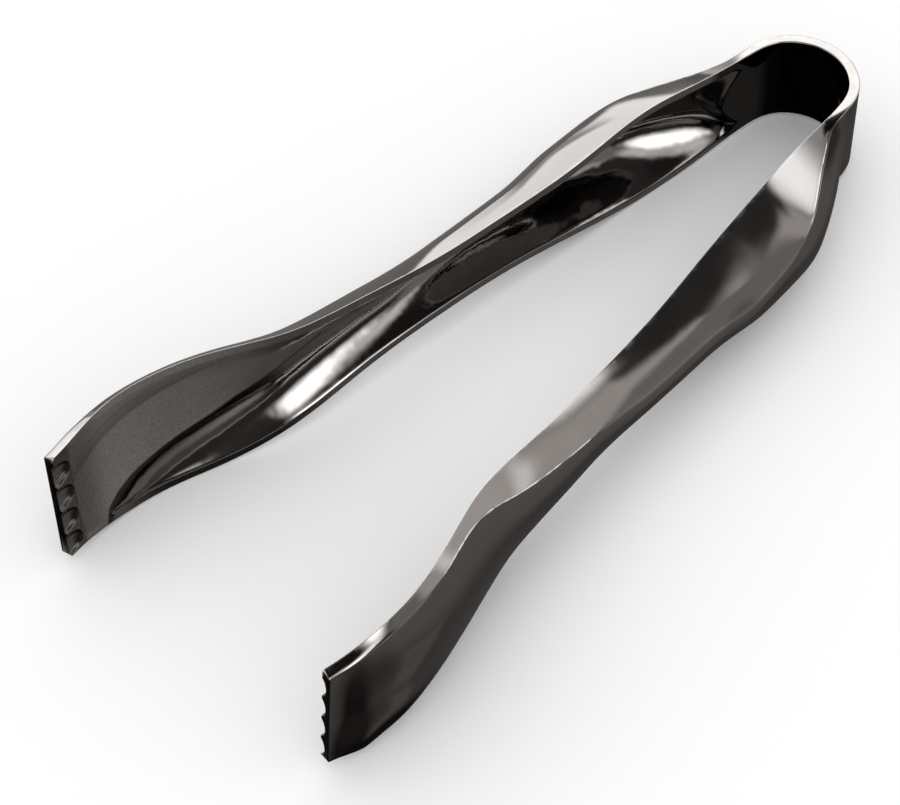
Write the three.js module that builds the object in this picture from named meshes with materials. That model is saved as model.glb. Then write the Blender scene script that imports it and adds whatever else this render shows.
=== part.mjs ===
// Ice tongs: one springy moulded strip, bent into a bow and running down both
// sides into a hollow grip, a slim shank and a scooped, toothed jaw.
// Units are millimetres. +X runs from the jaws to the bow, +Y from the front arm
// to the back arm, +Z up. The tongs lie on their lower edges on the plane z = 0.
import * as THREE from 'three';
import * as BufferGeometryUtils from 'three/addons/utils/BufferGeometryUtils.js';

// ---------- driving dimensions (mm, degrees) ----------
const WALL = 1.9;            // moulded wall thickness
const CUT_GAP = 0.32;        // clearance between neighbouring zones of the strip
const FLEX_GAP = 0.5;        // clearance where two zones hinge on each other
const BOW_FLEX_S = 9;        // arc length from the crown to the line each arm flexes about
const SHOULDER_END_S = 17.2; // end of the flat shoulder, root of the hollow grip
const GRIP_END_S = 63;       // end of the hollow grip
const SHANK_END_S = 117;     // end of the shank, start of the scooped jaw
const STRIP_END_S = 164.94;  // the toothed end
const HOLLOW_START_S = 17.6; // where the grip's trough begins, at its rims
const HOLLOW_TONGUE = 4.2;   // how much later it begins on its centre line
const HOLLOW_RAMP = 2.0;     // length of the trough's end wall
const TOOTH_PITCH = 5.65;    // scallop to scallop on the jaw's biting end
const TOOTH_DEPTH = 0.8;     // depth of a scallop
const TOOTH_REACH = 3.2;     // how far a scallop runs up the inner face
const TOOTH_FIRST_Z = -9.35; // centre of the lowest scallop, from the mid-plane
const TEETH = 4;
const SECTION_POWER = 2.5;   // fullness of the bulged outer face
const REST_TILT = 1.765;       // the strip's mid-plane dips to the bow by this angle at rest
const REST_LIFT = 9.58;      // height of the strip's mid-plane over the rest plane, at x = 0
const ORIGIN_SHIFT_X = 68.286; // puts the origin at the middle of the length
// Stations along half of the strip, from the crown to the toothed end:
// arc length, x, y of the inner edge, half height, lean of the section (deg),
// edge thickness, bulge of the outer face, height of the parting crease as a
// fraction of the half height, flatness of the face above the crease.
const STATIONS = [
  [0, 9.687, 0, 8.832, 0.03, 1.899, 0, 0.97, 0],
  [3, 9.196, 2.972, 8.831, 0.06, 1.896, 0, 0.97, 0],
  [6, 7.79, 5.669, 8.834, 0.16, 1.887, 0, 0.97, 0],
  [9, 5.616, 7.778, 8.835, 0.33, 1.871, 0, 0.97, 0],
  [12, 2.897, 8.983, 8.819, 0.54, 1.835, 0.038, 0.97, 0],
  [15, -0.089, 9.53, 8.834, 0.76, 1.698, 0.658, 0.97, 0.08],
  [18, -3.094, 9.898, 8.946, 0.99, 1.461, 2.232, 0.96, 0.45],
  [21, -6.078, 10.212, 9.144, 1.22, 1.226, 4.219, 0.894, 0.82],
  [24, -9.049, 10.514, 9.4, 1.45, 1.003, 5.907, 0.797, 0.9],
  [27, -12.015, 10.843, 9.687, 1.7, 0.841, 7.289, 0.729, 0.9],
  [30, -14.983, 11.228, 9.973, 1.95, 0.781, 8.42, 0.667, 0.9],
  [33, -17.954, 11.646, 10.209, 2.2, 0.753, 9.412, 0.606, 0.89],
  [36, -20.928, 12.063, 10.347, 2.46, 0.73, 10.282, 0.555, 0.87],
  [39, -23.908, 12.441, 10.336, 2.71, 0.71, 10.815, 0.507, 0.83],
  [42, -26.894, 12.756, 10.14, 2.97, 0.693, 10.971, 0.46, 0.78],
  [45, -29.883, 13.021, 9.793, 3.22, 0.679, 11.035, 0.417, 0.74],
  [48, -32.874, 13.262, 9.345, 3.46, 0.668, 11.077, 0.397, 0.71],
  [51, -35.864, 13.501, 8.846, 3.7, 0.66, 11.093, 0.389, 0.7],
  [54, -38.851, 13.766, 8.348, 3.93, 0.655, 10.981, 0.384, 0.7],
  [57, -41.833, 14.078, 7.9, 4.15, 0.651, 10.584, 0.381, 0.7],
  [60, -44.81, 14.438, 7.519, 4.36, 0.65, 10.008, 0.38, 0.7],
  [63, -47.784, 14.829, 7.201, 4.55, 0.65, 9.414, 0.381, 0.7],
  [66, -50.758, 15.233, 6.942, 4.73, 0.65, 8.953, 0.384, 0.7],
  [69, -53.732, 15.633, 6.737, 4.89, 0.65, 8.632, 0.389, 0.7],
  [72, -56.709, 16.01, 6.581, 5.02, 0.65, 8.359, 0.396, 0.7],
  [75, -59.69, 16.356, 6.471, 5.14, 0.65, 8.11, 0.407, 0.7],
  [78, -62.673, 16.682, 6.412, 5.24, 0.65, 7.873, 0.421, 0.7],
  [81, -65.657, 16.999, 6.405, 5.31, 0.65, 7.631, 0.434, 0.7],
  [84, -68.639, 17.319, 6.455, 5.36, 0.65, 7.36, 0.445, 0.7],
  [87, -71.619, 17.654, 6.566, 5.38, 0.65, 7.047, 0.456, 0.7],
  [90, -74.595, 18.013, 6.738, 5.39, 0.65, 6.73, 0.471, 0.7],
  [93, -77.568, 18.388, 6.97, 5.39, 0.65, 6.461, 0.49, 0.7],
  [96, -80.543, 18.763, 7.253, 5.39, 0.65, 6.289, 0.513, 0.71],
  [99, -83.521, 19.123, 7.583, 5.38, 0.65, 6.245, 0.54, 0.71],
  [102, -86.507, 19.455, 7.954, 5.37, 0.65, 6.263, 0.57, 0.72],
  [105, -89.502, 19.745, 8.358, 5.35, 0.65, 6.295, 0.598, 0.73],
  [108, -92.503, 20.007, 8.795, 5.33, 0.65, 6.327, 0.624, 0.74],
  [111, -95.5, 20.286, 9.265, 5.3, 0.65, 6.346, 0.651, 0.75],
  [114, -98.483, 20.63, 9.77, 5.26, 0.65, 6.324, 0.685, 0.77],
  [117, -101.442, 21.082, 10.311, 5.22, 0.65, 6.237, 0.727, 0.78],
  [120, -104.367, 21.689, 10.891, 5.18, 0.65, 6.103, 0.777, 0.81],
  [123, -107.253, 22.475, 11.498, 5.12, 0.652, 5.95, 0.825, 0.85],
  [126, -110.106, 23.401, 12.09, 5.06, 0.658, 5.784, 0.863, 0.9],
  [129, -112.937, 24.418, 12.618, 4.99, 0.667, 5.58, 0.89, 0.94],
  [132, -115.756, 25.477, 13.035, 4.91, 0.681, 5.353, 0.899, 0.95],
  [135, -118.573, 26.529, 13.304, 4.82, 0.699, 5.128, 0.9, 0.95],
  [138, -121.405, 27.526, 13.451, 4.72, 0.721, 4.911, 0.9, 0.95],
  [141, -124.267, 28.419, 13.524, 4.61, 0.747, 4.677, 0.9, 0.95],
  [144, -127.176, 29.157, 13.568, 4.49, 0.778, 4.393, 0.901, 0.95],
  [147, -130.134, 29.707, 13.583, 4.36, 0.831, 4.029, 0.905, 0.95],
  [150, -133.124, 30.046, 13.51, 4.21, 0.955, 3.563, 0.913, 0.95],
  [153, -136.125, 30.156, 13.284, 4.06, 1.152, 2.954, 0.924, 0.95],
  [156, -139.122, 30.034, 12.886, 3.89, 1.443, 2.118, 0.938, 0.95],
  [159, -142.11, 29.74, 12.452, 3.71, 1.791, 1.163, 0.949, 0.95],
  [162, -145.089, 29.343, 12.151, 3.55, 1.896, 0.269, 0.956, 0.95],
  [164.94, -147.956, 28.93, 12.147, 3.42, 1.9, 0.005, 0.959, 0.95]
];

// ---------- the strip ----------
function station(s) {
  const n = STATIONS.length;
  let i = 0;
  while (i < n - 2 && STATIONS[i + 1][0] < s) i++;
  const a = STATIONS[i], b = STATIONS[i + 1];
  // the crown mirrors the strip, so the row before the first is the second, with y negated
  const before = i > 0 ? STATIONS[i - 1] : STATIONS[1].map((v, k) => (k === 0 || k === 2 ? -v : v));
  const after = i < n - 2 ? STATIONS[i + 2] : b.map((v, k) => 2 * v - a[k]);
  const h = b[0] - a[0], u = (s - a[0]) / h;
  const out = [], slope = [];
  for (let k = 0; k < a.length; k++) {
    const da = (b[k] - before[k]) / (b[0] - before[0]) * h;
    const db = (after[k] - a[k]) / (after[0] - a[0]) * h;
    const u2 = u * u, u3 = u2 * u;
    out.push((2 * u3 - 3 * u2 + 1) * a[k] + (u3 - 2 * u2 + u) * da + (3 * u2 - 2 * u3) * b[k] + (u3 - u2) * db);
    slope.push(((6 * u2 - 6 * u) * a[k] + (3 * u2 - 4 * u + 1) * da + (6 * u - 6 * u2) * b[k] + (3 * u2 - 2 * u) * db) / h);
  }
  const [, x, y, half, lean, rim, bulge, crease, flat] = out;
  const len = Math.hypot(slope[1], slope[2]);
  return { s, x, y, half, lean: lean * Math.PI / 180, rim, bulge: Math.max(bulge, 0), crease: Math.min(crease, 0.97),
           flat: Math.max(flat, 0), nx: slope[2] / len, ny: -slope[1] / len };
}

// distance of the outer face from the inner edge's plane, at a fraction of the half height
function outerFace(st, zeta) {
  const full = (q) => st.rim + st.bulge * (1 - Math.pow(Math.abs(q), SECTION_POWER));
  if (zeta <= st.crease) return full(zeta);
  const line = full(st.crease) + (st.rim - full(st.crease)) * (zeta - st.crease) / (1 - st.crease);
  return full(zeta) * (1 - st.flat) + line * st.flat;
}

// the inner face: an even wall inside the outer face, but never past the inner edge's plane
function innerFace(st, zeta) {
  let depth = Infinity;
  for (let q = -1; q <= 1.0001; q += 0.02) {
    const dz = (zeta - q) * st.half;
    if (Math.abs(dz) < WALL) depth = Math.min(depth, outerFace(st, q) - Math.sqrt(WALL * WALL - dz * dz));
  }
  const lip = 0.9 / st.half;   // solid lip along both edges
  depth = Math.max(0, depth) * THREE.MathUtils.smoothstep(1 - Math.abs(zeta), 0.2 * lip, 1.6 * lip);
  const begin = HOLLOW_START_S + HOLLOW_TONGUE * (1 - Math.pow(Math.min(1, Math.abs(zeta) / 0.72), 1.5));
  depth *= THREE.MathUtils.smoothstep(st.s, begin - HOLLOW_RAMP / 2, begin + HOLLOW_RAMP / 2);
  // scallops on the biting end
  const back = STRIP_END_S - st.s;
  if (back < TOOTH_REACH) {
    for (let k = 0; k < TEETH; k++) {
      const off = (zeta * st.half - TOOTH_FIRST_Z - k * TOOTH_PITCH) / (TOOTH_PITCH / 2);
      if (Math.abs(off) < 1) depth = Math.max(depth, TOOTH_DEPTH * (1 - off * off) * (1 - back / TOOTH_REACH));
    }
  }
  return depth;
}

// a point of the section, in the frame of the part
const tilt = REST_TILT * Math.PI / 180;
function place(st, side, depth, zeta) {
  const z = zeta * st.half;
  const n = depth * Math.cos(st.lean) + z * Math.sin(st.lean);
  const up = z * Math.cos(st.lean) - depth * Math.sin(st.lean);
  const x = st.x + st.nx * n, y = side * (st.y + st.ny * n);
  return new THREE.Vector3(
    x * Math.cos(tilt) + up * Math.sin(tilt) + ORIGIN_SHIFT_X,
    y,
    Math.max(0, -x * Math.sin(tilt) + up * Math.cos(tilt) + REST_LIFT));
}

// One zone of the strip between two arc lengths. A plain band is extruded in many
// steps, and each of its points is then carried to its place on the strip.
function zone(name, side, from, to, stepLength, low, high, look, extra = []) {
  const total = low + high;
  const steps = [];
  const count = Math.max(2, Math.round((to - from) / stepLength));
  for (let k = 0; k <= count; k++) steps.push(from + (to - from) * k / count);
  for (const e of extra) steps.push(e);
  steps.sort((a, b) => a - b);
  const outline = new THREE.Shape();
  const outerY = (x) => 1 + 0.3 * (1 - x * x), innerY = (x) => 0.1 * (1 - x * x);
  const at = (i) => -1 + 2 * i / total;
  outline.moveTo(at(0), outerY(at(0)));
  for (let i = 1; i <= total; i++) outline.lineTo(at(i), outerY(at(i)));
  for (let i = total; i >= 0; i--) outline.lineTo(at(i), innerY(at(i)));
  outline.closePath();
  let geometry = new THREE.ExtrudeGeometry(outline, { depth: 1, steps: steps.length - 1, bevelEnabled: false, curveSegments: 1 });
  const stations = steps.map((s) => station(Math.abs(s)));
  const grid = stations.map((st) => {
    const ring = [];
    for (let i = 0; i <= total; i++) {
      const zeta = i <= low ? -1 + (st.crease + 1) * i / low : st.crease + (1 - st.crease) * (i - low) / high;
      ring.push([outerFace(st, zeta), innerFace(st, zeta), zeta]);
    }
    return ring;
  });
  const p = geometry.attributes.position;
  for (let v = 0; v < p.count; v++) {
    const x = p.getX(v), y = p.getY(v);
    const i = Math.round((x + 1) / 2 * total), k = Math.round(p.getZ(v) * (steps.length - 1));
    const outer = Math.abs(y - outerY(x)) < Math.abs(y - innerY(x));
    const [o, n, zeta] = grid[k][i];
    const q = place(stations[k], side * (steps[k] < 0 ? -1 : 1), outer ? o : n, zeta);
    p.setXYZ(v, q.x, q.y, q.z);
  }
  geometry.deleteAttribute('normal');
  geometry.deleteAttribute('uv');
  geometry = BufferGeometryUtils.mergeVertices(geometry, 1e-4);
  // faces point out
  const idx = geometry.index, pos = geometry.attributes.position;
  const a = new THREE.Vector3(), b = new THREE.Vector3(), c = new THREE.Vector3();
  let volume = 0;
  for (let t = 0; t < idx.count; t += 3) {
    a.fromBufferAttribute(pos, idx.getX(t)); b.fromBufferAttribute(pos, idx.getX(t + 1)); c.fromBufferAttribute(pos, idx.getX(t + 2));
    volume += a.dot(b.clone().cross(c)) / 6;
  }
  if (volume < 0) {
    for (let t = 0; t < idx.count; t += 3) { const k = idx.getX(t); idx.setX(t, idx.getX(t + 1)); idx.setX(t + 1, k); }
  }
  geometry.computeVertexNormals();
  const mesh = new THREE.Mesh(geometry, new THREE.MeshStandardMaterial(look));
  mesh.name = name;
  return mesh;
}

const chrome = { color: 0x6e6b69, roughness: 0.12, metalness: 1.0 };
const satin = { color: 0x55504d, roughness: 0.3, metalness: 1.0 };

const tongs = new THREE.Group();
const g = CUT_GAP / 2, f = FLEX_GAP / 2;
tongs.add(zone('bow_crown', 1, -BOW_FLEX_S + f, BOW_FLEX_S - f, 1.25, 4, 1, chrome));
for (const [label, side] of [['front', -1], ['back', 1]]) {
  tongs.add(zone('bow_shoulder_' + label, side, BOW_FLEX_S + f, SHOULDER_END_S - g, 1.6, 6, 2, chrome));
  tongs.add(zone('grip_' + label, side, SHOULDER_END_S + g, GRIP_END_S - g, 3, 9, 4, chrome, [18.3, 19.3, 21.2, 22.4]));
  tongs.add(zone('shank_' + label, side, GRIP_END_S + g, SHANK_END_S - g, 4.5, 8, 4, chrome));
  tongs.add(zone('jaw_' + label, side, SHANK_END_S + g, STRIP_END_S, 3, 16, 2, satin, [STRIP_END_S - 1.6, STRIP_END_S - 3.2]));
}
export default tongs;
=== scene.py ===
import math

import bmesh
import bpy
import numpy as np
from mathutils import Matrix, Vector


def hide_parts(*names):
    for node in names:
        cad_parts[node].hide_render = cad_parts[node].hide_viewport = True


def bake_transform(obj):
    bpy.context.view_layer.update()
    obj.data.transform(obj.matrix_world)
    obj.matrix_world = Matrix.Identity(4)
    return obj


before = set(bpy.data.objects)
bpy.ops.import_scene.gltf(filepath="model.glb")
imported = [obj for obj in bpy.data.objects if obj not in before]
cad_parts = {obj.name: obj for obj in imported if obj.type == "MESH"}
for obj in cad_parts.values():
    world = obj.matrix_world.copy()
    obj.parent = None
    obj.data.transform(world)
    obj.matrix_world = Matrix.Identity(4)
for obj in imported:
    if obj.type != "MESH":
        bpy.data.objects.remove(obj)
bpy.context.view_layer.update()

# ---------------------------------------------------------------- the strip (mm, degrees)
# Stations along one half, from the crown of the bow to the toothed end: arc length, x, y of the inner edge,
# half height, lean, edge thickness, bulge, crease height as a share of the half height, flatness above the crease.
STATIONS = np.array([
    [0, 9.687, 0, 8.832, 0.03, 1.899, 0, 0.97, 0],
    [3, 9.196, 2.972, 8.831, 0.06, 1.896, 0, 0.97, 0],
    [6, 7.79, 5.669, 8.834, 0.16, 1.887, 0, 0.97, 0],
    [9, 5.616, 7.778, 8.835, 0.33, 1.871, 0, 0.97, 0],
    [12, 2.897, 8.983, 8.819, 0.54, 1.835, 0.038, 0.97, 0],
    [15, -0.089, 9.53, 8.834, 0.76, 1.698, 0.658, 0.97, 0.08],
    [18, -3.094, 9.898, 8.946, 0.99, 1.461, 2.232, 0.96, 0.45],
    [21, -6.078, 10.212, 9.144, 1.22, 1.226, 4.219, 0.894, 0.82],
    [24, -9.049, 10.514, 9.4, 1.45, 1.003, 5.907, 0.797, 0.9],
    [27, -12.015, 10.843, 9.687, 1.7, 0.841, 7.289, 0.729, 0.9],
    [30, -14.983, 11.228, 9.973, 1.95, 0.781, 8.42, 0.667, 0.9],
    [33, -17.954, 11.646, 10.209, 2.2, 0.753, 9.412, 0.606, 0.89],
    [36, -20.928, 12.063, 10.347, 2.46, 0.73, 10.282, 0.555, 0.87],
    [39, -23.908, 12.441, 10.336, 2.71, 0.71, 10.815, 0.507, 0.83],
    [42, -26.894, 12.756, 10.14, 2.97, 0.693, 10.971, 0.46, 0.78],
    [45, -29.883, 13.021, 9.793, 3.22, 0.679, 11.035, 0.417, 0.74],
    [48, -32.874, 13.262, 9.345, 3.46, 0.668, 11.077, 0.397, 0.71],
    [51, -35.864, 13.501, 8.846, 3.7, 0.66, 11.093, 0.389, 0.7],
    [54, -38.851, 13.766, 8.348, 3.93, 0.655, 10.981, 0.384, 0.7],
    [57, -41.833, 14.078, 7.9, 4.15, 0.651, 10.584, 0.381, 0.7],
    [60, -44.81, 14.438, 7.519, 4.36, 0.65, 10.008, 0.38, 0.7],
    [63, -47.784, 14.829, 7.201, 4.55, 0.65, 9.414, 0.381, 0.7],
    [66, -50.758, 15.233, 6.942, 4.73, 0.65, 8.953, 0.384, 0.7],
    [69, -53.732, 15.633, 6.737, 4.89, 0.65, 8.632, 0.389, 0.7],
    [72, -56.709, 16.01, 6.581, 5.02, 0.65, 8.359, 0.396, 0.7],
    [75, -59.69, 16.356, 6.471, 5.14, 0.65, 8.11, 0.407, 0.7],
    [78, -62.673, 16.682, 6.412, 5.24, 0.65, 7.873, 0.421, 0.7],
    [81, -65.657, 16.999, 6.405, 5.31, 0.65, 7.631, 0.434, 0.7],
    [84, -68.639, 17.319, 6.455, 5.36, 0.65, 7.36, 0.445, 0.7],
    [87, -71.619, 17.654, 6.566, 5.38, 0.65, 7.047, 0.456, 0.7],
    [90, -74.595, 18.013, 6.738, 5.39, 0.65, 6.73, 0.471, 0.7],
    [93, -77.568, 18.388, 6.97, 5.39, 0.65, 6.461, 0.49, 0.7],
    [96, -80.543, 18.763, 7.253, 5.39, 0.65, 6.289, 0.513, 0.71],
    [99, -83.521, 19.123, 7.583, 5.38, 0.65, 6.245, 0.54, 0.71],
    [102, -86.507, 19.455, 7.954, 5.37, 0.65, 6.263, 0.57, 0.72],
    [105, -89.502, 19.745, 8.358, 5.35, 0.65, 6.295, 0.598, 0.73],
    [108, -92.503, 20.007, 8.795, 5.33, 0.65, 6.327, 0.624, 0.74],
    [111, -95.5, 20.286, 9.265, 5.3, 0.65, 6.346, 0.651, 0.75],
    [114, -98.483, 20.63, 9.77, 5.26, 0.65, 6.324, 0.685, 0.77],
    [117, -101.442, 21.082, 10.311, 5.22, 0.65, 6.237, 0.727, 0.78],
    [120, -104.367, 21.689, 10.891, 5.18, 0.65, 6.103, 0.777, 0.81],
    [123, -107.253, 22.475, 11.498, 5.12, 0.652, 5.95, 0.825, 0.85],
    [126, -110.106, 23.401, 12.09, 5.06, 0.658, 5.784, 0.863, 0.9],
    [129, -112.937, 24.418, 12.618, 4.99, 0.667, 5.58, 0.89, 0.94],
    [132, -115.756, 25.477, 13.035, 4.91, 0.681, 5.353, 0.899, 0.95],
    [135, -118.573, 26.529, 13.304, 4.82, 0.699, 5.128, 0.9, 0.95],
    [138, -121.405, 27.526, 13.451, 4.72, 0.721, 4.911, 0.9, 0.95],
    [141, -124.267, 28.419, 13.524, 4.61, 0.747, 4.677, 0.9, 0.95],
    [144, -127.176, 29.157, 13.568, 4.49, 0.778, 4.393, 0.901, 0.95],
    [147, -130.134, 29.707, 13.583, 4.36, 0.831, 4.029, 0.905, 0.95],
    [150, -133.124, 30.046, 13.51, 4.21, 0.955, 3.563, 0.913, 0.95],
    [153, -136.125, 30.156, 13.284, 4.06, 1.152, 2.954, 0.924, 0.95],
    [156, -139.122, 30.034, 12.886, 3.89, 1.443, 2.118, 0.938, 0.95],
    [159, -142.11, 29.74, 12.452, 3.71, 1.791, 1.163, 0.949, 0.95],
    [162, -145.089, 29.343, 12.151, 3.55, 1.896, 0.269, 0.956, 0.95],
    [164.94, -147.956, 28.93, 12.147, 3.42, 1.9, 0.005, 0.959, 0.95]
])
END = 164.94
TILT = math.radians(1.765)
LIFT = 9.58
SHIFT_X = 68.286
POWER = 2.5
SKIN = 1.5            # wall between the outer face and the trough
EDGE = 0.1            # thickness left at the upper edge, where the upper face comes over to the inner one
TIP_CORNER = 0.85     # rounding of the end's two corners
TIP_BEVEL = 0.2
TOOTH_PITCH, TOOTH_FIRST, TOOTH_DEPTH, TOOTH_REACH = 5.65, -9.35, 0.95, 3.6


def spline(knots, values):
    """Natural cubic through the knots."""
    k, v = np.asarray(knots, float), np.asarray(values, float)
    n, h = len(k), np.diff(k)
    a, b = np.zeros((n, n)), np.zeros(n)
    a[0, 0] = a[-1, -1] = 1.0
    for i in range(1, n - 1):
        a[i, i - 1], a[i, i], a[i, i + 1] = h[i - 1], 2 * (h[i - 1] + h[i]), h[i]
        b[i] = 6 * ((v[i + 1] - v[i]) / h[i] - (v[i] - v[i - 1]) / h[i - 1])
    m = np.linalg.solve(a, b)

    def f(x, d=0):
        x = np.asarray(x, float)
        i = np.clip(np.searchsorted(k, x) - 1, 0, n - 2)
        l, r, w = x - k[i], k[i + 1] - x, h[i]
        if d == 0:
            return (m[i] * r**3 + m[i + 1] * l**3) / (6 * w) + (v[i] / w - m[i] * w / 6) * r + (v[i + 1] / w - m[i + 1] * w / 6) * l
        return (-m[i] * r**2 + m[i + 1] * l**2) / (2 * w) - (v[i] / w - m[i] * w / 6) + (v[i + 1] / w - m[i + 1] * w / 6)

    return f


def mirrored(column, sign=1):
    """A spline over both halves, so that it is even (or odd) about the crown."""
    t = STATIONS
    return spline(np.concatenate([-t[:0:-1, 0], t[:, 0]]), np.concatenate([sign * t[:0:-1, column], t[:, column]]))


F_X, F_Y, F_H, F_LEAN, F_RIM, F_BULGE, F_CREASE, F_FLAT = (mirrored(c, -1 if c == 2 else 1) for c in range(1, 9))


def smooth(x, a, b):
    t = np.clip((np.asarray(x, float) - a) / (b - a), 0, 1)
    return t * t * (3 - 2 * t)


def wave(x, seed, scale):
    """Smooth seeded noise along a length, from -1 to 1."""
    g = np.random.default_rng(seed).uniform(-1, 1, 512)
    t = np.asarray(x, float) / scale + 64
    i = np.floor(t).astype(int)
    f = t - i
    f = f * f * f * (f * (6 * f - 15) + 10)
    return g[i % 512] * (1 - f) + g[(i + 1) % 512] * f


class Section:
    """The cross-section at one arc length. n: outwards from the inner edge's plane, z: height from the mid-line."""

    def __init__(self, s):
        self.s = s
        self.h, self.rim = float(F_H(s)), float(F_RIM(s))
        self.bulge = max(float(F_BULGE(s)), 0.0)
        self.crease = float(np.clip(F_CREASE(s), 0.2, 0.97))
        self.flat = float(np.clip(F_FLAT(s), 0, 1) * (1 - 0.35 * smooth(s, 32, 50) * (1 - smooth(s, 96, 112))))
        self.lean = math.radians(float(F_LEAN(s)))
        self.x, self.y = float(F_X(s)), float(F_Y(s))
        self.belly = float(1.4 * smooth(s, 137, 152) * (1 - smooth(s, 157.5, 165.8)))
        dx, dy = float(F_X(s, 1)), float(F_Y(s, 1))
        size = math.hypot(dx, dy)
        self.nx, self.ny = dy / size, -dx / size
        over = s - (END - TIP_CORNER)
        self.cut = TIP_CORNER - math.sqrt(max(TIP_CORNER**2 - over**2, 0)) if over > 0 else 0.0

    def outer(self, q, belly=True):
        q = np.asarray(q, float)
        more = self.belly if belly else 0.0
        full = lambda p: self.rim + self.bulge * (1 - np.abs(p) ** POWER) + more * smooth(-p, 0.05, 1.0)
        c = self.crease
        top = full(c)
        share = (q - c) / (1 - c)
        bow = 1 - smooth(self.s, 12.5, 19.5)
        line = top + (EDGE - top) * share
        bowed = full(q) - (top + (self.rim - top) * share)
        above = line + (1 - self.flat) * bowed
        return np.where(q > c, bow * full(q) + (1 - bow) * above, full(q))

    def offset(self, z):
        """Depth of an even wall inside the outer face."""
        q = np.linspace(-1, 1, 1601)
        o = self.outer(q, False)
        d = z[:, None] - q[None, :] * self.h
        reach = np.where(np.abs(d) < SKIN, o[None, :] - np.sqrt(np.maximum(SKIN**2 - d * d, 0)), 1e3)
        return np.maximum(reach.min(1), -2.0)

    def pocket(self, zeta):
        """1 in the glossy pocket of the jaw, 0 on its satin bed, by the line between them."""
        return smooth(self.brink(zeta), -0.028, 0.028) * smooth(self.s, 104, 116)

    def brink(self, zeta):
        """How far under the line between bed and pocket, as a share of the half height."""
        return float(np.interp(self.s, POCKET[:, 0], POCKET[:, 1])) - zeta

    def inner(self, z, depth):
        """Depth of the inner face under the inner edge's plane."""
        soft = 0.16
        depth = np.maximum(0.5 * (depth + np.sqrt(depth * depth + soft * soft)) - 0.02, 0)
        depth = depth * smooth(self.h - np.abs(z), 0.35, 1.15)
        zeta = np.abs(z) / self.h
        begin = 17.4 + 4.6 * (1 - np.minimum(1, zeta / 0.72) ** 1.5) + 2.6 * smooth(zeta, 0.7, 0.9)
        depth = depth * smooth(self.s, begin - 0.7, begin + 1.5)
        back = END - self.s
        depth = depth * smooth(back, 3.6, 5.2)
        depth = depth + 0.16 * self.pocket(z / self.h) * smooth(self.h - np.abs(z), 1.0, 2.2) * smooth(back, 5.0, 7.0)
        if back < TOOTH_REACH:
            for k in range(4):
                off = (z - TOOTH_FIRST - k * TOOTH_PITCH) / (TOOTH_PITCH / 2)
                scoop = TOOTH_DEPTH * np.maximum(1 - (off / 0.88) ** 2 - (back / TOOTH_REACH) ** 2, 0) ** 0.62
                depth = np.maximum(depth, scoop)
        return depth

    def flash(self):
        """How far the mould's parting line stands out, from 0 to 1."""
        jaw = smooth(self.s, 93, 100) * (1 - smooth(self.s, 137, 143)) * float(np.clip(0.85 + 0.4 * wave(self.s, 5, 0.9), 0.5, 1))
        grip = 0.8 * smooth(self.s, 21, 23) * (1 - smooth(self.s, 34, 38)) * float(np.clip(0.9 + 0.3 * wave(self.s, 9, 0.7), 0.5, 1))
        return jaw + grip

    def corners(self):
        """Thickness at the upper edge, and the roundings of the four edges: outer low, outer high, inner low, inner high."""
        top = float(self.outer(1.0))
        return top, min(0.26, 0.34 * self.rim), min(0.26, 0.4 * top), min(0.22, 0.3 * self.rim), min(0.2, 0.4 * top)

    def inner_heights(self):
        _, _, _, ri, rj = self.corners()
        return np.linspace(self.h - rj, -self.h + ri, NG)

    def ring(self, offset):
        """The closed outline: points (n, z), and for each: is it inside, how near an edge, height share."""
        h, c = self.h, self.crease
        top_rim, ro, rt, ri, rj = self.corners()
        e = 1e-3
        low = (self.outer(-1 + e) - self.outer(-1)) / (e * h)
        high = (self.outer(1) - self.outer(1 - e)) / (e * h)
        z0, z1 = -h + ro / math.hypot(1, low), h - rt / math.hypot(1, high)
        dc = min(0.34 + 1.3 * smooth(self.s, 40, 52) * (1 - smooth(self.s, 84, 98)), 0.45 * (1 - c) * h)
        za, zb = c * h - dc, min(c * h + dc, z1 - 0.02)

        def run(a, b, count):
            z = np.linspace(a, b, 400)
            n = self.outer(z / h)
            length = np.concatenate([[0], np.cumsum(np.hypot(np.diff(z), np.diff(n)))])
            zz = np.interp(np.linspace(0, length[-1], count), length, z)
            return np.stack([self.outer(zz / h), zz], 1)

        def bend(p, corner, r, count):
            t = np.linspace(0, 1, count)[:, None]
            return (1 - t) ** 2 * p + 2 * t * (1 - t) * corner + t * t * r

        parts, tags = [], []

        def add(points, inside, edge):
            parts.append(points)
            tags.append(np.stack([np.full(len(points), inside), edge if np.ndim(edge) else np.full(len(points), edge)], 1))

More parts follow.
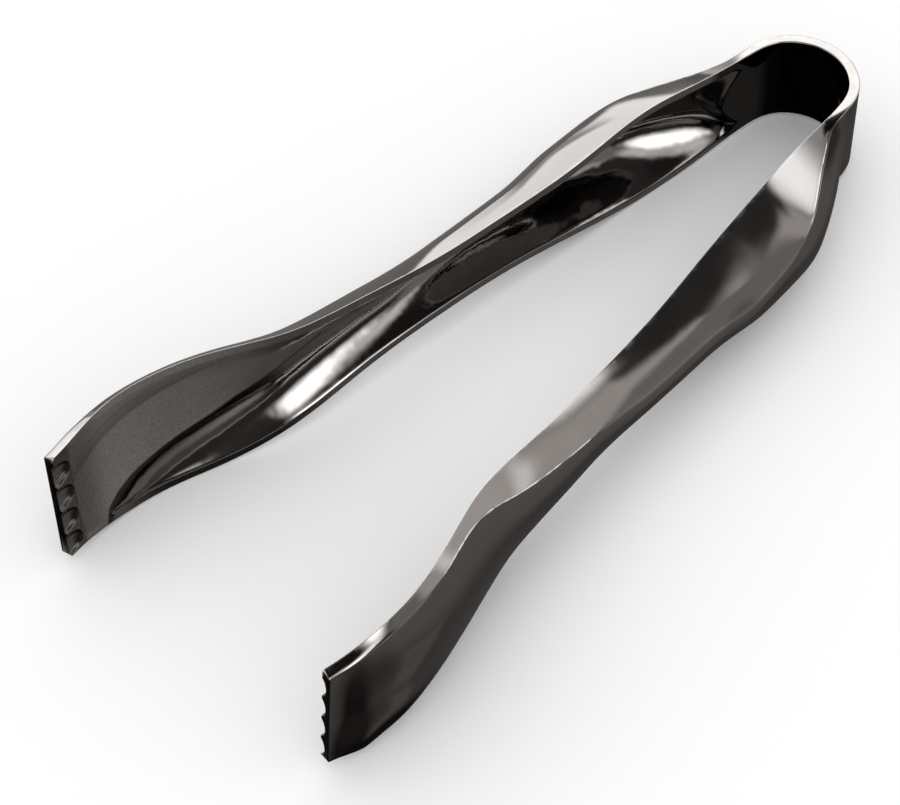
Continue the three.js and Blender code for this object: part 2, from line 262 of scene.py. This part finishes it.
        lower = run(z0, za, NA)
        add(lower, 0.0, np.exp(-(h + lower[:, 1]) / 0.5))
        corner = np.array([float(self.outer(c)), c * h])
        upper = run(zb, z1, NC)
        fold = bend(lower[-1], corner, upper[0], 11)[1:-1]
        t = np.linspace(0, 1, 11)[1:-1]
        ridge = 0.06 * np.exp(-((t - 0.5) / 0.12) ** 2) * self.flash()
        way = upper[0] - lower[-1]
        way = way / np.hypot(*way)
        fold = fold + ridge[:, None] * np.array([way[1], -way[0]])
        add(fold, 0.0, 0.3 + 1.7 * self.flash() * np.exp(-((t - 0.5) / 0.13) ** 2))
        add(upper, 0.0, np.exp(-(h - upper[:, 1]) / 0.5))
        add(bend(upper[-1], np.array([top_rim, h]), np.array([top_rim - rt, h]), 7)[1:], 0.0, 1.0)
        add(bend(np.array([rj, h]), np.array([0, h]), np.array([0, h - rj]), 6)[:-1], 0.5, 1.0)
        z = self.inner_heights()
        add(np.stack([self.inner(z, offset), z], 1), 1.0, np.exp(-(h - np.abs(z)) / 0.5))
        add(bend(np.array([0, -h + ri]), np.array([0, -h]), np.array([ri, -h]), 6)[1:], 0.5, 1.0)
        foot = float(self.outer(-1.0))
        add(bend(np.array([foot - ro, -h]), np.array([foot, -h]), lower[0], 7)[:-1], 0.5, 1.0)
        p, tag = np.concatenate(parts), np.concatenate(tags)
        if self.cut > 0:
            p[:, 1] = np.clip(p[:, 1], -(h - self.cut), h - self.cut) * 0.999 + p[:, 1] * 0.001
        over = self.s - (END - TIP_BEVEL)
        if over > 0:
            # draws the outline in towards the cap, so that the end's edge is rounded
            inset = TIP_BEVEL - math.sqrt(max(TIP_BEVEL**2 - over**2, 0))
            mid = self.rim * 0.5
            p[:, 0] = np.where(p[:, 0] > mid, np.maximum(p[:, 0] - inset, mid), np.minimum(p[:, 0] + inset, self.rim - inset - 0.1))
            p[:, 1] = np.clip(p[:, 1], -(h - self.cut - inset), h - self.cut - inset)
        return p, tag

    def place(self, n, z, side):
        m = n * math.cos(self.lean) + z * math.sin(self.lean)
        up = z * math.cos(self.lean) - n * math.sin(self.lean)
        return to_row(np.stack([self.x + self.nx * m, side * (self.y + self.ny * m), up], -1))


NA, NC, NG = 46, 26, 100
# the line between the jaw's satin bed (above) and its glossy pocket (below): arc length, height share
POCKET = np.array([[100, 0.15], [112, -0.1], [122, -0.21], [127.5, -0.28], [132.4, -0.37], [138, -0.45], [144, -0.545], [148, -0.61], [151.5, -0.7], [154, -0.8], [155.6, -0.95], [156.6, -1.3]])


def to_row(p):
    """From the strip's own frame (mm) to the row frame (m)."""
    x, y, z = p[..., 0], p[..., 1], p[..., 2]
    X = x * math.cos(TILT) + z * math.sin(TILT) + SHIFT_X
    Z = -x * math.sin(TILT) + z * math.cos(TILT) + LIFT
    return np.stack([X, y, np.maximum(Z, 0)], -1) / 1000


def steps():
    s = [0, 0.02, 0.1, 0.3]
    s += list(np.arange(0.6, 14, 0.4)) + list(np.arange(14, 27, 0.22)) + list(np.arange(27, 156, 0.62)) + list(np.arange(156, END - 1.0, 0.2))
    s += list(END - TIP_CORNER + TIP_CORNER * np.sin(np.linspace(0, 0.97, 9) * math.pi / 2))
    s += list(END - TIP_BEVEL + TIP_BEVEL * np.sin(np.linspace(0.05, 1, 7) * math.pi / 2))
    return np.unique(np.round(np.array(s), 5))


def even(s, depth):
    """Softens the trough's inner folds: a Gaussian blur across the ring, and along the strip."""
    k = np.exp(-0.5 * (np.arange(-6, 7) / 1.5) ** 2)
    k /= k.sum()
    wide = np.pad(depth, ((0, 0), (6, 6)), mode="edge")
    depth = sum(k[i] * wide[:, i : i + depth.shape[1]] for i in range(13))
    out = np.empty_like(depth)
    for i, v in enumerate(s):
        near = np.abs(s - v) < 3.0
        step = np.gradient(s)[near]
        w = np.exp(-0.5 * ((s[near] - v) / 0.9) ** 2) * step
        # normalised by the weights that reach each station, so that the ends don't sag
        out[i] = (w[:, None] * depth[near]).sum(0) / w.sum()
    return out


def half(name, side, material):
    s = steps()
    rings, tags = [], []
    sections = [Section(float(v)) for v in s]
    depth = even(s, np.array([sec.offset(sec.inner_heights()) for sec in sections]))
    for v, sec, d in zip(s, sections, depth):
        p, tag = sec.ring(d)
        rings.append(sec.place(p[:, 0], p[:, 1], side))
        tags.append(np.column_stack([np.full(len(p), v), p[:, 1] / sec.h, tag, sec.pocket(p[:, 1] / sec.h), sec.brink(p[:, 1] / sec.h)]))
    n = len(rings[0])
    co, tag = np.concatenate(rings), np.concatenate(tags)
    i = np.arange(n)
    j = (i + 1) % n
    faces = []
    for k in range(len(s) - 1):
        a = k * n
        quad = np.stack([a + i, a + j, a + n + j, a + n + i], 1)
        faces += (quad if side > 0 else quad[:, ::-1]).tolist()
    first, last = list(range(n)), list(range((len(s) - 1) * n, len(s) * n))
    caps = [first[::-1], last] if side > 0 else [first, last[::-1]]
    mesh = bpy.data.meshes.new(name)
    mesh.from_pydata(co.tolist(), [], faces + caps)
    mesh.update()
    for label, column in (("along", 0), ("height", 1), ("inside", 2), ("edge", 3), ("pocket", 4), ("brink", 5)):
        mesh.attributes.new(label, "FLOAT", "POINT").data.foreach_set("value", tag[:, column].astype(np.float32))
    bm = bmesh.new()
    bm.from_mesh(mesh)
    bm.faces.ensure_lookup_table()
    ends = [bm.faces[-1], bm.faces[-2]]
    for f in bm.faces:
        f.smooth = True
    for f in ends:
        f.smooth = False
        for e in f.edges:
            e.smooth = False
    bmesh.ops.triangulate(bm, faces=ends, quad_method="BEAUTY", ngon_method="EAR_CLIP")
    if bm.calc_volume(signed=True) < 0:
        bmesh.ops.reverse_faces(bm, faces=bm.faces[:])
    bm.to_mesh(mesh)
    bm.free()
    obj = bpy.data.objects.new(name, mesh)
    bpy.context.scene.collection.objects.link(obj)
    mesh.materials.append(material)
    return obj


# ---------------------------------------------------------------- material
def smoky_chrome():
    mat = bpy.data.materials.new("smoky_chrome_on_moulded_plastic")
    mat.use_nodes = True
    t = mat.node_tree
    for n in list(t.nodes):
        t.nodes.remove(n)
    new = t.nodes.new
    out, p = new("ShaderNodeOutputMaterial"), new("ShaderNodeBsdfPrincipled")
    t.links.new(p.outputs[0], out.inputs[0])

    def attr(name):
        n = new("ShaderNodeAttribute")
        n.attribute_name = name
        return n.outputs["Fac"]

    def math_(op, a, b=None, c=None, clamp=False):
        n = new("ShaderNodeMath")
        n.operation, n.use_clamp = op, clamp
        for i, v in enumerate((a, b, c)):
            if v is None:
                continue
            if isinstance(v, (int, float)):
                n.inputs[i].default_value = v
            else:
                t.links.new(v, n.inputs[i])
        return n.outputs[0]

    def ramp(v, a, b, lo=0.0, hi=1.0):
        n = new("ShaderNodeMapRange")
        n.interpolation_type = "SMOOTHSTEP"
        t.links.new(v, n.inputs["Value"])
        for k, val in (("From Min", a), ("From Max", b), ("To Min", lo), ("To Max", hi)):
            n.inputs[k].default_value = val
        return n.outputs["Result"]

    def noise(vector, scale, detail=2.0, rough=0.5):
        n = new("ShaderNodeTexNoise")
        t.links.new(vector, n.inputs["Vector"])
        n.inputs["Scale"].default_value = scale
        n.inputs["Detail"].default_value = detail
        n.inputs["Roughness"].default_value = rough
        return n.outputs["Fac"]

    def colour(fac, a, b):
        n = new("ShaderNodeMix")
        n.data_type = "RGBA"
        t.links.new(fac, n.inputs["Factor"])
        n.inputs["A"].default_value = (*a, 1) if isinstance(a, tuple) else (1, 1, 1, 1)
        n.inputs["B"].default_value = (*b, 1) if isinstance(b, tuple) else (1, 1, 1, 1)
        if not isinstance(a, tuple):
            t.links.new(a, n.inputs["A"])
        if not isinstance(b, tuple):
            t.links.new(b, n.inputs["B"])
        return n.outputs["Result"]

    along, inside, edge, height, pocket, brink = (attr(n) for n in ("along", "inside", "edge", "height", "pocket", "brink"))
    where = new("ShaderNodeTexCoord").outputs["Object"]
    across = new("ShaderNodeCombineXYZ")
    t.links.new(along, across.inputs[0])
    t.links.new(math_("MULTIPLY", height, 10.0), across.inputs[1])
    t.links.new(math_("MULTIPLY", inside, 40.0), across.inputs[2])
    strip = across.outputs[0]

    cloud = noise(where, 90.0, 3.0)
    grain = noise(where, 2600.0, 2.0)
    hair = new("ShaderNodeMapping")
    t.links.new(strip, hair.inputs[0])
    hair.inputs["Scale"].default_value = (0.25, 4.0, 1.0)
    hair.inputs["Rotation"].default_value = (0, 0, 0.12)
    scuff = noise(hair.outputs[0], 3.0, 4.0, 0.6)

    # the satin bed of the jaw: inner face, past the shank
    bed = math_("MULTIPLY", ramp(along, 108.0, 138.0), ramp(inside, 0.6, 0.95))
    bed = math_("MULTIPLY", bed, math_("SUBTRACT", 1.0, pocket))
    bed = math_("MULTIPLY", bed, ramp(math_("ADD", along, math_("MULTIPLY", cloud, 1.6)), 162.4, 159.6))
    # painted shade: the inner side of the bow is painted near black, standing in for the shade between the arms
    reach = math_("SUBTRACT", along, ramp(height, -0.4, 0.1, 0.0, 3.0))
    reach = math_("ADD", reach, math_("MULTIPLY", math_("SUBTRACT", cloud, 0.5), 3.0))
    inner_bow_shade = math_("MULTIPLY", ramp(reach, 22.6, 19.2), ramp(inside, 0.55, 0.9))
    tint = colour(cloud, (0.40, 0.385, 0.375), (0.50, 0.49, 0.485))
    mottle = noise(where, 3000.0, 3.0, 0.75)
    satin = colour(ramp(mottle, 0.3, 0.7), (0.24, 0.224, 0.21), (0.45, 0.42, 0.396))
    tint = colour(math_("MULTIPLY", bed, 0.85), tint, satin)
    # painted shade: a dark band along a step in the bed that follows its upper edge, darker above, and a painted dark
    # band at the brink of the pocket
    step = math_("SUBTRACT", height, math_("MULTIPLY_ADD", math_("SUBTRACT", 160.0, along), 0.0125, 0.15))
    step = math_("ADD", step, math_("MULTIPLY", math_("SUBTRACT", cloud, 0.5), 0.06))
    shade = math_("MULTIPLY", ramp(step, -0.012, 0.012), ramp(step, 0.3, 0.0))
    tint = colour(math_("MULTIPLY", math_("MULTIPLY", shade, bed), 0.42), tint, (0.05, 0.046, 0.042))
    second = math_("SUBTRACT", step, 0.2)
    shade = math_("MULTIPLY", ramp(second, -0.01, 0.01), ramp(second, 0.12, 0.0))
    tint = colour(math_("MULTIPLY", math_("MULTIPLY", shade, bed), 0.3), tint, (0.05, 0.046, 0.042))
    # painted shade: the bed darkened towards the tip
    near = math_("ADD", along, math_("MULTIPLY", math_("SUBTRACT", cloud, 0.5), 4.0))
    tint = colour(math_("MULTIPLY", math_("MULTIPLY", ramp(near, 151.0, 158.5), bed), 0.5), tint, (0.05, 0.046, 0.042))
    # painted shade: a dark band along the brink of the pocket
    brink_shade = math_("MULTIPLY", ramp(brink, -0.03, 0.0), ramp(brink, 0.17, 0.08))
    brink_shade = math_("MULTIPLY", math_("MULTIPLY", brink_shade, ramp(along, 116.0, 128.0)), ramp(inside, 0.6, 0.95))
    tint = colour(math_("MULTIPLY", brink_shade, 0.8), tint, (0.03, 0.028, 0.026))
    # painted dark reflection on the upper outer face next to the bow
    upper_face_dark_reflection = math_("MULTIPLY", math_("MULTIPLY", ramp(along, 31.0, 23.5), ramp(along, 15.0, 19.0)), ramp(height, 0.5, 0.75))
    upper_face_dark_reflection = math_("MULTIPLY", upper_face_dark_reflection, ramp(inside, 0.3, 0.1))
    tint = colour(math_("MULTIPLY", upper_face_dark_reflection, 0.85), tint, (0.05, 0.047, 0.045))
    # painted shade: the inner side of the bow darkened to near black
    tint = colour(math_("MULTIPLY", inner_bow_shade, 0.93), tint, (0.015, 0.014, 0.013))
    # worn plating along the edges and the parting line, and a painted highlight: the parting line, and faintly the
    # rounded edges, painted near white and less metallic
    worn = math_("MULTIPLY", ramp(edge, 0.45, 0.95), ramp(noise(where, 420.0, 3.0), 0.45, 0.62), clamp=True)
    tint = colour(math_("MULTIPLY", worn, 0.35), tint, (0.68, 0.66, 0.64))
    # painted highlight along the parting line, and faintly on the rounded edges
    line = ramp(edge, 0.85, 1.3)
    tint = colour(math_("MULTIPLY", line, 0.9), tint, (0.86, 0.84, 0.82))
    t.links.new(tint, p.inputs["Base Color"])
    metal = math_("SUBTRACT", 1.0, math_("MULTIPLY", bed, 0.3))
    # less metallic under the painted highlight on the parting line
    t.links.new(math_("SUBTRACT", metal, math_("MULTIPLY", line, 0.6), clamp=True), p.inputs["Metallic"])

    rough = math_("MULTIPLY_ADD", cloud, 0.05, 0.045)
    rough = math_("ADD", rough, math_("MULTIPLY", ramp(scuff, 0.55, 0.75), 0.05))
    rough = math_("ADD", rough, math_("MULTIPLY", worn, 0.12))
    rough = math_("ADD", rough, math_("MULTIPLY", bed, 0.24))
    t.links.new(rough, p.inputs["Roughness"])

    # orange peel of the moulding, satin grain of the bed, and a few pits
    pits = new("ShaderNodeTexVoronoi")
    t.links.new(where, pits.inputs["Vector"])
    pits.inputs["Scale"].default_value = 380.0
    pit = ramp(pits.outputs["Distance"], 0.0, 0.07, 1.0, 0.0)
    peel = noise(where, 260.0, 1.0)
    swirl = noise(where, 170.0, 2.0, 0.55)
    height_ = math_("MULTIPLY", peel, 0.05)
    height_ = math_("ADD", height_, math_("MULTIPLY", math_("MULTIPLY", swirl, inside), 0.55))
    height_ = math_("ADD", height_, math_("MULTIPLY", math_("MULTIPLY", grain, bed), 0.05))
    height_ = math_("SUBTRACT", height_, math_("MULTIPLY", pit, 0.03))
    height_ = math_("ADD", height_, math_("MULTIPLY", scuff, 0.004))
    bump = new("ShaderNodeBump")
    bump.inputs["Strength"].default_value = 0.35
    bump.inputs["Distance"].default_value = 0.0004
    t.links.new(height_, bump.inputs["Height"])
    t.links.new(bump.outputs[0], p.inputs["Normal"])
    p.inputs["Coat Weight"].default_value = 0.25
    p.inputs["Coat Roughness"].default_value = 0.03
    return mat


chrome = smoky_chrome()
front = half("tongs_front_half", -1, chrome)
back = half("tongs_back_half", 1, chrome)


def bend_point(s, side):
    sec = Section(s)
    return tuple(float(v) for v in sec.place(np.array([0.9]), np.array([0.0]), side)[0])


for piece, side, label in ((front, -1, "front"), (back, 1, "back")):
    bend_point(2.0, side)
    bend_point(17.0, side)
    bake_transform(piece)
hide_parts("bow_crown", *[z + "_front" for z in ("bow_shoulder", "grip", "shank", "jaw")])
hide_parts(*[z + "_back" for z in ("bow_shoulder", "grip", "shank", "jaw")])

# ---------------------------------------------------------------- camera
AZ, EL, ROLL = math.radians(-47.33254764), math.radians(50.08636927), math.radians(0.38012827)
FOCAL, PAN_X, PAN_Y, AWAY = 3514.31761635, 12.20513485, 11.25813858, 586.42472059


def turn(v):
    return Vector((v[0] * math.cos(TILT) + v[2] * math.sin(TILT), v[1], -v[0] * math.sin(TILT) + v[2] * math.cos(TILT)))


right = Vector((math.cos(AZ), math.sin(AZ), 0))
up = Vector((-math.sin(EL) * math.sin(AZ), math.sin(EL) * math.cos(AZ), math.cos(EL)))
away = Vector((math.sin(AZ) * math.cos(EL), -math.cos(AZ) * math.cos(EL), math.sin(EL)))
r2 = math.cos(ROLL) * right + math.sin(ROLL) * up
u2 = -math.sin(ROLL) * right + math.cos(ROLL) * up
eye = Vector((-70, 0, 0)) - PAN_X * r2 - PAN_Y * u2 + AWAY * away
r3, u3, b3 = turn(r2), turn(u2), turn(away)
eye = (turn(eye) + Vector((SHIFT_X, 0, LIFT))) / 1000
cam = bpy.data.objects.new("camera", bpy.data.cameras.new("camera"))
bpy.context.scene.collection.objects.link(cam)
cam.data.sensor_fit = "HORIZONTAL"
cam.data.sensor_width = 36.0
cam.data.lens = FOCAL * 36 / 900
cam.data.clip_start, cam.data.clip_end = 0.01, 50
cam.matrix_world = Matrix(((r3.x, u3.x, b3.x, eye.x), (r3.y, u3.y, b3.y, eye.y), (r3.z, u3.z, b3.z, eye.z), (0, 0, 0, 1)))
bpy.context.scene.camera = cam

# ---------------------------------------------------------------- floor, light
floor_mesh = bpy.data.meshes.new("floor")
floor_mesh.from_pydata([(-6, -6, 0), (6, -6, 0), (6, 6, 0), (-6, 6, 0)], [], [(0, 1, 2, 3)])
floor = bpy.data.objects.new("floor", floor_mesh)
bpy.context.scene.collection.objects.link(floor)
floor.location.z = -0.0002
pale = bpy.data.materials.new("pale_floor")
pale.use_nodes = True
pb = pale.node_tree.nodes["Principled BSDF"]
pb.inputs["Base Color"].default_value = (0.92, 0.92, 0.92, 1)
pb.inputs["Roughness"].default_value = 0.9
floor_mesh.materials.append(pale)
floor.visible_glossy = False

world = bpy.data.worlds.new("studio")
bpy.context.scene.world = world
world.use_nodes = True
wt = world.node_tree
for n in list(wt.nodes):
    wt.nodes.remove(n)


def wm(op, a, b=None, clamp=False):
    n = wt.nodes.new("ShaderNodeMath")
    n.operation, n.use_clamp = op, clamp
    for i, v in enumerate((a, b)):
        if v is None:
            continue
        if isinstance(v, (int, float)):
            n.inputs[i].default_value = v
        else:
            wt.links.new(v, n.inputs[i])
    return n.outputs[0]


def wr(v, a, b, lo=0.0, hi=1.0):
    n = wt.nodes.new("ShaderNodeMapRange")
    n.interpolation_type = "SMOOTHSTEP"
    wt.links.new(v, n.inputs["Value"])
    for k, val in (("From Min", a), ("From Max", b), ("To Min", lo), ("To Max", hi)):
        n.inputs[k].default_value = val
    return n.outputs["Result"]


direction = wt.nodes.new("ShaderNodeTexCoord").outputs["Generated"]
split = wt.nodes.new("ShaderNodeSeparateXYZ")
wt.links.new(direction, split.inputs[0])
dx, dy, dz = split.outputs
azimuth = wm("MULTIPLY", wm("ARCTAN2", dy, dx), 180 / math.pi)
elevation = wm("MULTIPLY", wm("ARCSINE", dz), 180 / math.pi)


def softbox(az0, az1, el0, el1, soft_az, soft_el, level):
    """A patch of light between two azimuths and two elevations, in degrees, with soft borders."""
    a = wm("MULTIPLY", wr(azimuth, az0 - soft_az, az0 + soft_az), wr(azimuth, az1 - soft_az, az1 + soft_az, 1.0, 0.0))
    b = wm("MULTIPLY", wr(elevation, el0 - soft_el, el0 + soft_el), wr(elevation, el1 - soft_el, el1 + soft_el, 1.0, 0.0))
    return wm("MULTIPLY", wm("MULTIPLY", a, b), level)


# azimuth from, to, elevation from, to, softness of each pair of borders (degrees), strength
BOXES = [
    (-30, 18, 22, 41, 2.5, 3.0, 0.95),     # tall bank behind the bow
    (-27, 18, 27, 41, 4.0, 4.0, 0.8),
    (18, 40, 16, 52, 2.5, 3.0, 1.75),
    (40, 59, -9.5, 52, 1.5, 1.0, 1.4),     # its continuation behind the back arm
    (59, 96, -1.5, 52, 1.5, 1.5, 1.4),
    (59, 96, -9.5, -1.5, 1.5, 1.5, 0.42),
    (40, 96, 14, 52, 3.0, 3.0, 0.4),
    (40, 96, -62, -9.5, 5.0, 1.0, 0.19),     # light on the ground behind the back arm
    (-36, 10, 7, 22, 2.0, 2.0, 0.55),      # lower part of the bank, dimmer
    (-46, -36.5, 11, 41.5, 3.0, 1.6, 0.5),   # grey panel beside the bank
    (-36.5, -31, 11, 38.5, 3.0, 1.6, 0.5),
    (-64, -46, 5, 45, 3.5, 5.0, 0.2),
    (-64, -49, 45, 62, 4.0, 4.0, 0.3),
    (-93, -70, 40, 62, 8.0, 9.0, 3.2),     # box facing the back arm's trough
    (-68, -52, 46, 63, 6.0, 6.0, 0.6),
    (-96, -66, 3, 19, 4.0, 4.0, 0.22),
    (-110, -78, -60, -12, 6.0, 6.0, 0.012),
    (-66, -44, -61, -38, 4.0, 4.0, 0.045),
    (116, 168, 6, 50, 6.0, 6.0, 0.9),      # panels beyond the jaws, for the far sides
    (-168, -116, 4, 44, 8.0, 8.0, 0.6),
    (100, 178, -30, 0, 9.0, 9.0, 0.08),
    (-178, -112, -30, 0, 9.0, 9.0, 0.06),
    (-78, 45, -64, 10, 9.0, 3.0, 0.055),   # ground on the front side
    (-75, 30, -34, 10, 9.0, 14.0, 0.07),
]
level = wm("ADD", wr(elevation, -20, 10, 0.008, 0.03), wr(elevation, 56, 66, 0.0, -0.02))
for b in BOXES:
    level = wm("ADD", level, softbox(*b))
level = wm("MAXIMUM", level, 0.006)
tone = wt.nodes.new("ShaderNodeMix")
tone.data_type = "RGBA"
tone.inputs["A"].default_value = (1.0, 0.93, 0.88, 1)
tone.inputs["B"].default_value = (1.0, 0.99, 0.975, 1)
wt.links.new(wr(level, 0.2, 1.6), tone.inputs["Factor"])
seen = wt.nodes.new("ShaderNodeBackground")
wt.links.new(tone.outputs["Result"], seen.inputs["Color"])
wt.links.new(level, seen.inputs["Strength"])
plain = wt.nodes.new("ShaderNodeBackground")
plain.inputs["Color"].default_value = (1, 1, 1, 1)
plain.inputs["Strength"].default_value = 1.12
path = wt.nodes.new("ShaderNodeLightPath")
mixer = wt.nodes.new("ShaderNodeMixShader")
wt.links.new(path.outputs["Is Glossy Ray"], mixer.inputs[0])
wt.links.new(plain.outputs[0], mixer.inputs[1])
wt.links.new(seen.outputs[0], mixer.inputs[2])
wout = wt.nodes.new("ShaderNodeOutputWorld")
wt.links.new(mixer.outputs[0], wout.inputs[0])

bpy.context.scene.view_settings.view_transform = "Standard"
